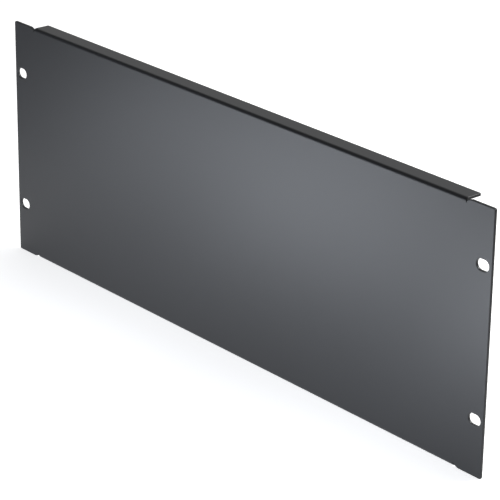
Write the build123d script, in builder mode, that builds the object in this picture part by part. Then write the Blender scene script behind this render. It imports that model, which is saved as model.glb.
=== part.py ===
"""Rack blanking panel, four units high, folded from one sheet of steel and powder coated.

The flat face closes four units of a 19-inch rack. Two narrow flanges are folded back from its long
edges and stiffen it. The face runs on past both flanges as mounting ears, each with two slots.

The model's origin is the centre of the slot pattern, on the rear face of the ears, which is the plane
that lands on the rack's rails. +X runs along the panel, +Y into the rack and +Z up. Sizes are in mm.
"""

import os

from build123d import *

# Rack pattern that the panel has to fit
rack_unit = 44.45
units_high = 4
height_clearance = 0.3
slot_spacing_across = 465.1
slot_inset_high = 38.1

# Sheet: steel with a coat of powder on both sides
steel_thickness = 1.6
coat_thickness = 0.1
inner_bend_radius = 0.4

# Outline of the folded panel
slot_to_ear_edge = 7.75
slot_to_flange = 15.8
flange_depth = 13.0
ear_corner_radius = 1.2
flange_corner_radius = 1.0

# Mounting slots, long way across the panel
slot_length = 10.3
slot_width = 7.4

# Bend relief: a narrow notch between each ear and the end of each flange, and the ear's shoulder,
# which slopes down from the ear's edge to the notch
relief_width = 0.6
relief_run = 0.1
shoulder_run = 3.5
shoulder_drop = 1.2
shoulder_radius = 3.0
notch_corner_radius = 0.6

# Round that the punch and the coat leave on the edges of the sheet's outer side
edge_round = 0.5

# Sizes that follow from those above
sheet_thickness = steel_thickness + 2 * coat_thickness
outer_bend_radius = inner_bend_radius + sheet_thickness
panel_width = slot_spacing_across + 2 * slot_to_ear_edge
panel_height = units_high * rack_unit - height_clearance
slot_spacing_high = units_high * rack_unit - 2 * slot_inset_high
flange_length = slot_spacing_across - 2 * slot_to_flange
relief_depth = outer_bend_radius + relief_run + relief_width / 2
half_height = panel_height / 2
front_face = -sheet_thickness
flange_back = front_face + flange_depth
ear_start = flange_length / 2 + relief_width
tolerance = 0.01

with BuildPart() as panel:
    # Folded stretch between the ears: face, two bends and two flanges in one section
    with BuildSketch(Plane.YZ) as channel_section:
        with BuildLine():
            outside = FilletPolyline(
                (flange_back, half_height),
                (front_face, half_height),
                (front_face, -half_height),
                (flange_back, -half_height),
                radius=outer_bend_radius,
            )
            inside = FilletPolyline(
                (flange_back, half_height - sheet_thickness),
                (0, half_height - sheet_thickness),
                (0, sheet_thickness - half_height),
                (flange_back, sheet_thickness - half_height),
                radius=inner_bend_radius,
            )
            Line(outside @ 0, inside @ 0)
            Line(outside @ 1, inside @ 1)
        make_face()
    extrude(amount=flange_length / 2, both=True)

    # Free corners of the two flanges
    free_corners = (
        panel.edges()
        .filter_by(Axis.Z)
        .filter_by_position(Axis.Y, flange_back - tolerance, flange_back + tolerance)
    )
    fillet(free_corners, radius=flange_corner_radius)

    # Flat face with its ears, cut back behind the folded edges as far as the relief notches reach
    with BuildSketch(Plane.XZ) as face_outline:
        RectangleRounded(panel_width, panel_height, ear_corner_radius)
        with Locations((0, half_height), (0, -half_height)):
            Rectangle(flange_length, 2 * outer_bend_radius, mode=Mode.SUBTRACT)
    extrude(amount=sheet_thickness)

    # Bend reliefs: one drawn, with its shoulder, and mirrored to the other three corners
    with BuildSketch(Plane.XZ) as reliefs:
        with Locations((ear_start - relief_width / 2, half_height)):
            SlotOverall(2 * relief_depth, relief_width, rotation=90)
        with BuildLine():
            Polyline(
                (ear_start, half_height),
                (ear_start, half_height - shoulder_drop),
                (ear_start + shoulder_run, half_height),
                close=True,
            )
        make_face()
        mirror(about=Plane.YZ)
        mirror(about=Plane.XZ)
    extrude(amount=sheet_thickness, mode=Mode.SUBTRACT)
    for radius, across, high in (
        (shoulder_radius, ear_start + shoulder_run, half_height),
        (notch_corner_radius, ear_start, half_height - shoulder_drop),
    ):
        corners = (
            panel.edges()
            .filter_by(Axis.Y)
            .filter_by(lambda edge: abs(abs(edge.center().X) - across) < tolerance)
            .filter_by(lambda edge: abs(abs(edge.center().Z) - high) < tolerance)
        )
        fillet(corners, radius=radius)

    # Mounting slots
    with BuildSketch(Plane.XZ) as mounting_slots:
        with GridLocations(slot_spacing_across, slot_spacing_high, 2, 2):
            SlotOverall(slot_length, slot_width)
    extrude(amount=sheet_thickness, mode=Mode.SUBTRACT)

    # The punch rounds each edge of the sheet's outer side. A face that the punch made is one that has
    # an edge as long as the sheet is thick, and the outer side's faces look away from the channel.
    across_sheet = (
        panel.edges()
        .filter_by(GeomType.LINE)
        .filter_by(lambda edge: abs(edge.length - sheet_thickness) < tolerance)
    )
    punched_faces = panel.faces().filter_by(
        lambda face: any(edge in across_sheet for edge in face.edges())
    )
    outer_faces = panel.faces().filter_by(
        lambda face: face not in punched_faces
        and face.normal_at().dot(face.center() - Vector(face.center().X, flange_back / 2, 0)) > 0
    )
    punched_edges = [edge for face in punched_faces for edge in face.edges()]
    rims = [
        edge
        for face in outer_faces
        for edge in face.edges()
        if edge in punched_edges
    ]
    fillet(rims, radius=edge_round)

panel.part.label = "panel"
os.makedirs("parts", exist_ok=True)
export_step(panel.part, "parts/panel.step")
print("panel volume", round(panel.part.volume, 1), "mm3, size", panel.part.bounding_box().size)
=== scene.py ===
"""Looks of a rack blanking panel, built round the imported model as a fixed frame.

The panel is one folded sheet of steel under a satin black powder coat, so the whole object is the
model's own solid, dressed in that coat. A plain pale floor, soft studio lamps and a camera at the
photograph's angle go round it. Lengths are in metres and angles in degrees, unless a name says
otherwise. The frame is the model's: X along the panel, Y into the rack and Z up.
"""

import logging
import math
from dataclasses import dataclass
from enum import Enum
from typing import Any

import bpy
from mathutils import Matrix, Vector


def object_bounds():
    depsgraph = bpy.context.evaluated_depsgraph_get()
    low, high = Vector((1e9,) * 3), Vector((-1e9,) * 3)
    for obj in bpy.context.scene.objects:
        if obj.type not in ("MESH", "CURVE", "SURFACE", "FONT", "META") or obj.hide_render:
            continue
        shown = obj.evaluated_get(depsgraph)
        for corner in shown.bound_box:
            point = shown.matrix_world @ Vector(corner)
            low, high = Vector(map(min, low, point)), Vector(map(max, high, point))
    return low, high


MM = 0.001
IMAGE_WIDTH_PX = 500
SENSOR_WIDTH_MM = 36.0
WHITE = "#ffffff"

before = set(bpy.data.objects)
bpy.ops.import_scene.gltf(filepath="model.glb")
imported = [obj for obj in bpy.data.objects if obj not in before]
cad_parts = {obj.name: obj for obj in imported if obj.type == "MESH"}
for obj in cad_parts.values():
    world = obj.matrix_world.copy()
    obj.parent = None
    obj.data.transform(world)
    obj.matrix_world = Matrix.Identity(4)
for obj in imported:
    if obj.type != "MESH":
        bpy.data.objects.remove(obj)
cad_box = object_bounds()

log = logging.getLogger("panel")


class Ray(Enum):
    """A kind of ray that Light Path tells apart."""

    CAMERA = "Is Camera Ray"
    GLOSSY = "Is Glossy Ray"
    TRANSMISSION = "Is Transmission Ray"


def linear(colour: str) -> tuple[float, float, float, float]:
    """Turn an sRGB hex colour into the linear one that a shader takes.

    Args:
        colour: Six hex digits after a hash, such as "#202123".

    Returns:
        Red, green, blue and an alpha of 1.
    """
    shares = [int(colour[i : i + 2], 16) / 255 for i in (1, 3, 5)]
    red, green, blue = (s / 12.92 if s <= 0.04045 else ((s + 0.055) / 1.055) ** 2.4 for s in shares)
    return red, green, blue, 1.0


def add_node(tree: bpy.types.NodeTree, kind: str, *values: Any, **named: Any) -> bpy.types.Node:
    """Add a node with its settings, values and links.

    Args:
        tree: The tree that gets the node.
        kind: The node's type, such as "ShaderNodeBump".
        *values: What goes into the node's first inputs, in their order.
        **named: A setting of the node by its name, or what goes into an input by its name, with
            "_" for a space. A socket that goes into an input is linked to it.

    Returns:
        The new node.
    """
    node = tree.nodes.new(kind)
    filled = list(zip(node.inputs, values))
    for name, value in named.items():
        if hasattr(node, name):
            setattr(node, name, value)
            continue
        wanted = name.replace("_", " ").lower()
        filled.append((next(s for s in node.inputs if s.name.lower() == wanted and s.enabled), value))
    for socket, value in filled:
        if isinstance(value, bpy.types.NodeSocket):
            tree.links.new(value, socket)
        else:
            socket.default_value = value
    return node


@dataclass(frozen=True)
class PowderCoat:
    """Satin black polyester powder coat, sprayed dry and baked.

    The baked film flows out almost flat and keeps a shallow orange peel, which breaks up nothing
    but the edge of a reflection, so the eye sees a broad soft sheen and no mirror image.
    """

    colour: str = "#202123"
    roughness: float = 0.42
    ior: float = 1.5
    specular: float = 0.3
    peel_mm: float = 1.6
    peel_depth_mm: float = 0.004
    peel_detail: float = 1.0
    peel_roughness: float = 0.4

    def build(self) -> bpy.types.Material:
        """Make the coat's material.

        Returns:
            The material, on Object coordinates.
        """
        material = bpy.data.materials.new("satin_black_powder_coat")
        material.use_nodes = True
        tree = material.node_tree
        tree.nodes.clear()
        place = add_node(tree, "ShaderNodeTexCoord")
        peel = add_node(
            tree,
            "ShaderNodeTexNoise",
            Vector=place.outputs["Object"],
            Scale=1 / (self.peel_mm * MM),
            Detail=self.peel_detail,
            Roughness=self.peel_roughness,
        )
        bump = add_node(
            tree,
            "ShaderNodeBump",
            Height=peel.outputs[0],
            Distance=self.peel_depth_mm * MM,
            Strength=1.0,
        )
        coat = add_node(
            tree,
            "ShaderNodeBsdfPrincipled",
            Base_Color=linear(self.colour),
            Roughness=self.roughness,
            IOR=self.ior,
            Specular_IOR_Level=self.specular,
            Normal=bump.outputs[0],
        )
        add_node(tree, "ShaderNodeOutputMaterial", Surface=coat.outputs[0])
        return material


@dataclass
class BlankingPanel:
    """The folded sheet, which is the model's own node under its coat."""

    node: str = "panel"
    slot: str = "powder_coat"
    coat: PowderCoat = PowderCoat()

    def build(self) -> bpy.types.Object:
        """Dress the model's node.

        Returns:
            The node's object.
        """
        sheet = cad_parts[self.node]
        sheet.data.materials.clear()
        sheet.data.materials.append(self.coat.build())
        return sheet


def direction(azimuth: float, elevation: float) -> Vector:
    """Direction from the panel to a point round it.

    Args:
        azimuth: 0 in front of the face, and 90 beyond its right end.
        elevation: Above the horizon.

    Returns:
        A vector of length 1.
    """
    a, e = math.radians(azimuth), math.radians(elevation)
    return Vector((math.sin(a) * math.cos(e), -math.cos(a) * math.cos(e), math.sin(e)))


def facing(back: Vector) -> Matrix:
    """Turn of a camera or lamp that looks against a vector, with its own X level.

    Args:
        back: From what it looks at towards it.

    Returns:
        A 4x4 turn.
    """
    right = Vector((0, 0, 1)).cross(back).normalized()
    up = back.cross(right)
    return Matrix((right, up, back)).transposed().to_4x4()


@dataclass(frozen=True)
class PhotoCamera:
    """The photograph's camera, from a fit to the panel's edges and slots."""

    azimuth: float = 49.014
    elevation: float = 22.285
    roll: float = 0.821
    distance: float = 1.5661
    focal_px: float = 2367.6
    aim_x: float = 0.02313
    aim_z: float = -0.00639

    def build(self) -> None:
        """Set up the camera and make it the scene's."""
        data = bpy.data.cameras.new("photo_camera")
        data.sensor_width = SENSOR_WIDTH_MM
        data.lens = self.focal_px / IMAGE_WIDTH_PX * SENSOR_WIDTH_MM
        camera = bpy.data.objects.new("photo_camera", data)
        aim = Vector((self.aim_x, cad_box[0].y, self.aim_z))
        back = direction(self.azimuth, self.elevation)
        turn = facing(back) @ Matrix.Rotation(math.radians(self.roll), 4, "Z")
        camera.matrix_world = Matrix.Translation(aim + back * self.distance) @ turn
        bpy.context.scene.collection.objects.link(camera)
        bpy.context.scene.camera = camera


@dataclass(frozen=True)
class WhitePaper:
    """Uncoated white paper off a roll, which scatters light evenly, so the eye sees no sheen on it.

    On the strip that the photograph shows, a glow takes it up to white for the camera and in the
    panel's sheen. The glow gives no other light, so the panel's shadow stays.
    """

    colour: str = "#e8e8e8"
    glow: float = 0.66
    # From the middle of the strip to where the glow starts to fade, and to where it has gone
    glow_reach: float = 0.26
    glow_end: float = 0.46

    def build(self, azimuth: float) -> bpy.types.Material:
        """Make the paper's material.

        Args:
            azimuth: Where the strip leads from the panel, as for the camera.

        Returns:
            The material, on Object coordinates.
        """
        material = bpy.data.materials.new("matt_white_paper")
        material.use_nodes = True
        tree = material.node_tree
        tree.nodes.clear()
        paper = add_node(tree, "ShaderNodeBsdfDiffuse", Color=linear(self.colour))
        glow = add_node(tree, "ShaderNodeEmission", Strength=self.glow_strength(tree, azimuth))
        both = add_node(tree, "ShaderNodeAddShader", paper.outputs[0], glow.outputs[0])
        mixed = add_node(
            tree, "ShaderNodeMixShader", self.shown(tree), paper.outputs[0], both.outputs[0]
        )
        add_node(tree, "ShaderNodeOutputMaterial", Surface=mixed.outputs[0])
        # The glow is no lamp, so the renderer sends it no light samples
        material.cycles.emission_sampling = "NONE"
        return material

    def shown(self, tree: bpy.types.NodeTree) -> bpy.types.NodeSocket:
        """Share that is 1 for a ray that shows the background, and 0 for one that carries light.

        Args:
            tree: The tree that gets the nodes.

        Returns:
            The socket that gives the share.
        """
        path = add_node(tree, "ShaderNodeLightPath")
        share = path.outputs[Ray.CAMERA.value]
        for ray in (Ray.GLOSSY, Ray.TRANSMISSION):
            either = add_node(
                tree, "ShaderNodeMath", share, path.outputs[ray.value], operation="MAXIMUM"
            )
            share = either.outputs[0]
        return share

    def glow_strength(self, tree: bpy.types.NodeTree, azimuth: float) -> bpy.types.NodeSocket:
        """Strength of the glow: full on the strip, and fading to nothing on both sides of it.

        Args:
            tree: The tree that gets the nodes.
            azimuth: Where the strip leads from the panel, as for the camera.

        Returns:
            The socket that gives the strength.
        """
        place = add_node(tree, "ShaderNodeTexCoord")
        turn = math.radians(azimuth)
        sideways = (math.cos(turn), math.sin(turn), 0)
        across = add_node(
            tree, "ShaderNodeVectorMath", place.outputs["Object"], sideways, operation="DOT_PRODUCT"
        )
        off_middle = add_node(
            tree, "ShaderNodeMath", across.outputs["Value"], operation="ABSOLUTE"
        )
        fade = add_node(
            tree,
            "ShaderNodeMapRange",
            interpolation_type="SMOOTHSTEP",
            Value=off_middle.outputs[0],
            From_Min=self.glow_reach,
            From_Max=self.glow_end,
            To_Min=self.glow,
            To_Max=0.0,
        )
        return fade.outputs[0]


@dataclass(frozen=True)
class Lamp:
    """A soft box: a rectangle that shines at the panel from where it hangs."""

    name: str
    place: tuple[float, float, float]
    aim: tuple[float, float, float]
    width: float
    height: float
    watts: float
    colour: str = WHITE

    def build(self) -> None:
        """Hang the lamp at its place, facing its aim."""
        data = bpy.data.lights.new(self.name, "AREA")
        data.shape = "RECTANGLE"
        data.size = self.width
        data.size_y = self.height
        data.energy = self.watts
        data.color = linear(self.colour)[:3]
        lamp = bpy.data.objects.new(self.name, data)
        place = Vector(self.place)
        back = (place - Vector(self.aim)).normalized()
        lamp.matrix_world = Matrix.Translation(place) @ facing(back)
        lamp.visible_camera = False
        bpy.context.scene.collection.objects.link(lamp)


@dataclass(frozen=True)
class StripRow:
    """Low strips of slightly blue light along the face, which draw its soft change of shade."""

    width: float = 0.20
    height: float = 0.08
    colour: str = "#eff5ff"
    # Heights of the strips' middle and of the points on the panel that they face
    z: float = -0.046
    aim_z: float = 0.02
    # Each strip's name, its X, how far it is in front of the panel, and its power in watts
    strips: tuple[tuple[str, float, float, float], ...] = (
        ("far_left_strip", -0.18, 0.36, 0.61),
        ("low_left_strip", -0.30, 0.25, 0.33),
        ("low_middle_strip", -0.06, 0.17, 0.23),
        ("low_right_strip", 0.18, 0.17, 0.46),
    )

    def build(self) -> None:
        """Hang the strips, each square to the face and tilted up at it."""
        for name, x, ahead, watts in self.strips:
            place = (x, -ahead, self.z)
            aim = (x, 0, self.aim_z)
            Lamp(name, place, aim, self.width, self.height, watts, self.colour).build()


@dataclass
class Studio:
    """Pale floor, white surroundings and soft boxes."""

    floor_size: float = 8.0
    paper: WhitePaper = WhitePaper()
    front_light: float = 0.15
    back_light: float = 0.65
    # How far into the rack a direction leads, out of 1, where the light starts to rise and is full
    rise_start: float = -0.1
    rise_end: float = 0.5
    strips: StripRow = StripRow()
    back_box: Lamp = Lamp(
        "back_box", place=(0.41, 0.66, 0.78), aim=(0, 0, 0), width=0.35, height=0.35, watts=12.0
    )

    def build(self, azimuth: float) -> None:
        """Lay the floor, light the world and hang the lamps.

        Args:
            azimuth: The camera's.
        """
        self.lay_floor(azimuth)
        self.light_world()
        self.strips.build()
        self.back_box.build()

    def lay_floor(self, azimuth: float) -> None:
        """Lay the floor at the panel's lowest point.

        Args:
            azimuth: The camera's.
        """
        half = self.floor_size / 2
        height = cad_box[0].z
        corners = [(x * half, y * half, height) for x, y in ((-1, -1), (1, -1), (1, 1), (-1, 1))]
        mesh = bpy.data.meshes.new("floor")
        mesh.from_pydata(corners, [], [(0, 1, 2, 3)])
        floor = bpy.data.objects.new("floor", mesh)
        bpy.context.scene.collection.objects.link(floor)
        mesh.materials.append(self.paper.build(azimuth))

    def light_world(self) -> None:
        """Make the world a pale sweep behind the panel, which dims towards the camera's side."""
        world = bpy.data.worlds.new("pale_studio")
        bpy.context.scene.world = world
        world.use_nodes = True
        tree = world.node_tree
        tree.nodes.clear()
        way = add_node(tree, "ShaderNodeTexCoord")
        parts = add_node(tree, "ShaderNodeSeparateXYZ", Vector=way.outputs["Generated"])
        level = add_node(
            tree,
            "ShaderNodeMapRange",
            interpolation_type="SMOOTHSTEP",
            Value=parts.outputs["Y"],
            From_Min=self.rise_start,
            From_Max=self.rise_end,
            To_Min=self.front_light,
            To_Max=self.back_light,
        )
        wall = add_node(
            tree, "ShaderNodeBackground", Color=linear(WHITE), Strength=level.outputs[0]
        )
        add_node(tree, "ShaderNodeOutputWorld", Surface=wall.outputs[0])


def main() -> None:
    """Dress the panel, then set up the studio and the camera."""
    logging.basicConfig(level=logging.INFO, format="%(name)s: %(message)s")
    bpy.context.scene.view_settings.view_transform = "Standard"
    panel = BlankingPanel().build()
    log.info("%s dressed in %s", panel.name, panel.data.materials[0].name)
    camera = PhotoCamera()
    Studio().build(camera.azimuth)
    camera.build()


if __name__ == "__main__":
    main()
